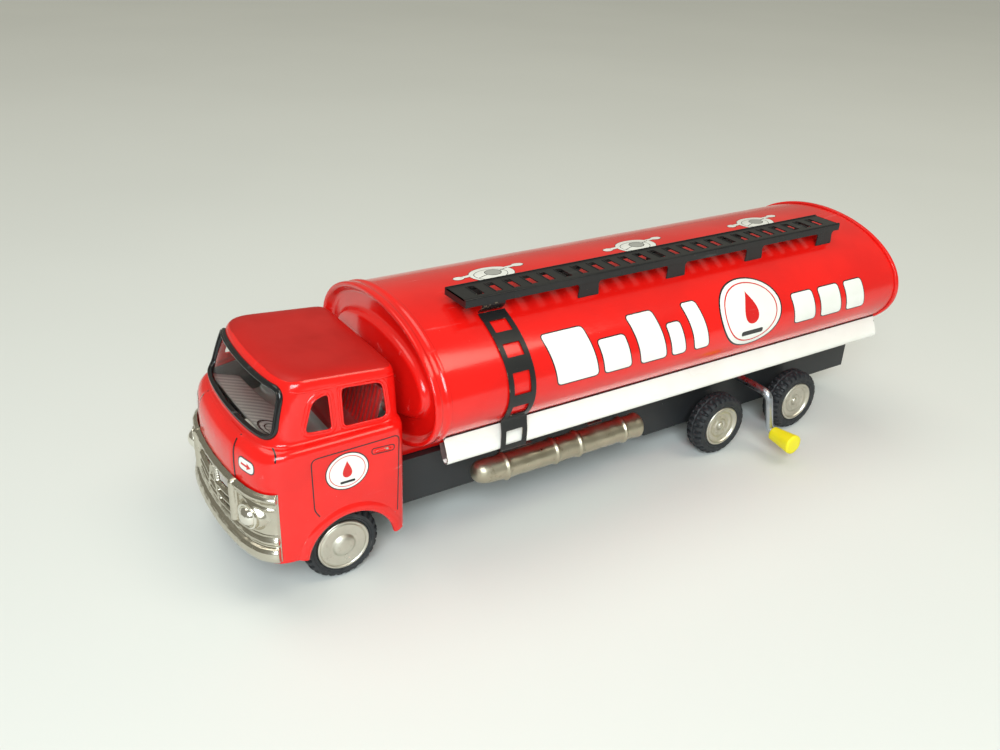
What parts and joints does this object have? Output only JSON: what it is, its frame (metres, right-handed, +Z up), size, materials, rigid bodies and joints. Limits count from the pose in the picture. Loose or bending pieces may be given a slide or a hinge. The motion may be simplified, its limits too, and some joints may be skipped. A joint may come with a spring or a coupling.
{
  "type": "toy tanker truck",
  "caption": "Pressed-tin toy tanker truck with a forward-control cab, oval tank, top walkway, side ladder and a hand crank geared to a flywheel and the driven axle.",
  "frame": {"origin": "on the ground under the middle of the truck's bounding box, crank grip included", "axes": "-Y towards the truck's nose, +X towards its left side, where the crank is, +Z up"},
  "size_m": [0.0928, 0.274, 0.0842],
  "materials": {
    "red_tin": "glossy printed red on tinplate",
    "white_tin": "glossy white on tinplate with a black line",
    "black_tin": "glossy black on tinplate",
    "printed_tin": "printed seat pattern on tinplate",
    "nickel_tin": "worn warm nickel plating",
    "steel": "bright drawn wire and sheet",
    "brass": "stamped, dull",
    "flywheel_metal": "turned, dull grey",
    "tyre_rubber": "moulded black rubber",
    "black_rubber": "moulded black gasket",
    "clear_sheet": "clear celluloid",
    "yellow_grip": "smooth yellow"
  },
  "bodies": {
    "truck_body": {"chassis_frame": "black_tin", "cab_shell": "red_tin", "windshield_frame": "black_rubber", "windshield_glazing": "clear_sheet", "seat_insert": "printed_tin", "grille_bumper": "nickel_tin", "tank_shell": "red_tin", "tank_front_cap": "red_tin", "tank_rear_cap": "red_tin", "tank_cradle": "red_tin", "skirt_left": "white_tin", "skirt_right": "white_tin", "walkway": "black_tin", "ladder": "black_tin", "exhaust_pipe": "nickel_tin", "motor_plate_left": "steel", "motor_plate_right": "steel", "motor_spacer_front": "steel", "motor_spacer_rear": "steel", "motor_spacer_lower": "steel"},
    "front_wheels": {"front_axle": "steel", "front_tyre_left": "tyre_rubber", "front_hub_left": "steel", "front_disc_left": "nickel_tin", "front_tyre_right": "tyre_rubber", "front_hub_right": "steel", "front_disc_right": "nickel_tin"},
    "drive_wheels": {"drive_axle": "steel", "drive_tyre_left": "tyre_rubber", "drive_hub_left": "steel", "drive_disc_left": "nickel_tin", "drive_tyre_right": "tyre_rubber", "drive_hub_right": "steel", "drive_disc_right": "nickel_tin", "drive_axle_gear": "brass"},
    "rear_wheels": {"rear_axle": "steel", "rear_tyre_left": "tyre_rubber", "rear_hub_left": "steel", "rear_disc_left": "nickel_tin", "rear_tyre_right": "tyre_rubber", "rear_hub_right": "steel", "rear_disc_right": "nickel_tin"},
    "crank": {"crank_rod": "steel", "crank_gear": "brass"},
    "crank_handle": {"crank_grip": "yellow_grip"},
    "gear_cluster": {"cluster_shaft": "steel", "cluster_gear": "brass", "cluster_pinion": "steel"},
    "flywheel_rotor": {"flywheel_shaft": "steel", "flywheel": "flywheel_metal", "flywheel_pinion": "steel"}
  },
  "joints": [
    {"name": "crank_spin", "type": "hinge", "parent": "truck_body", "child": "crank", "pos_m": [-0.00507, 0.06639, 0.0267], "axis": [1, 0, 0], "continuous": true},
    {"name": "grip_spin", "type": "hinge", "parent": "crank", "child": "crank_handle", "pos_m": [0.04093, 0.07077, 0.00903], "axis": [1, 0, 0], "continuous": true},
    {"name": "cluster_spin", "type": "hinge", "parent": "truck_body", "child": "gear_cluster", "pos_m": [-0.00507, 0.06174, 0.01695], "axis": [1, 0, 0], "continuous": true},
    {"name": "drive_axle_spin", "type": "hinge", "parent": "truck_body", "child": "drive_wheels", "pos_m": [-0.00507, 0.05199, 0.0123], "axis": [1, 0, 0], "continuous": true},
    {"name": "flywheel_spin", "type": "hinge", "parent": "truck_body", "child": "flywheel_rotor", "pos_m": [-0.00507, 0.07111, 0.01486], "axis": [1, 0, 0], "continuous": true},
    {"name": "front_axle_spin", "type": "hinge", "parent": "truck_body", "child": "front_wheels", "pos_m": [-0.00507, -0.10601, 0.0123], "axis": [1, 0, 0], "continuous": true},
    {"name": "rear_axle_spin", "type": "hinge", "parent": "truck_body", "child": "rear_wheels", "pos_m": [-0.00507, 0.09399, 0.0123], "axis": [1, 0, 0], "continuous": true}
  ],
  "couplings": [
    {"joint": "cluster_spin", "follows": "crank_spin", "ratio": -2},
    {"joint": "drive_axle_spin", "follows": "crank_spin", "ratio": 1},
    {"joint": "flywheel_spin", "follows": "crank_spin", "ratio": 4.4}
  ]
}
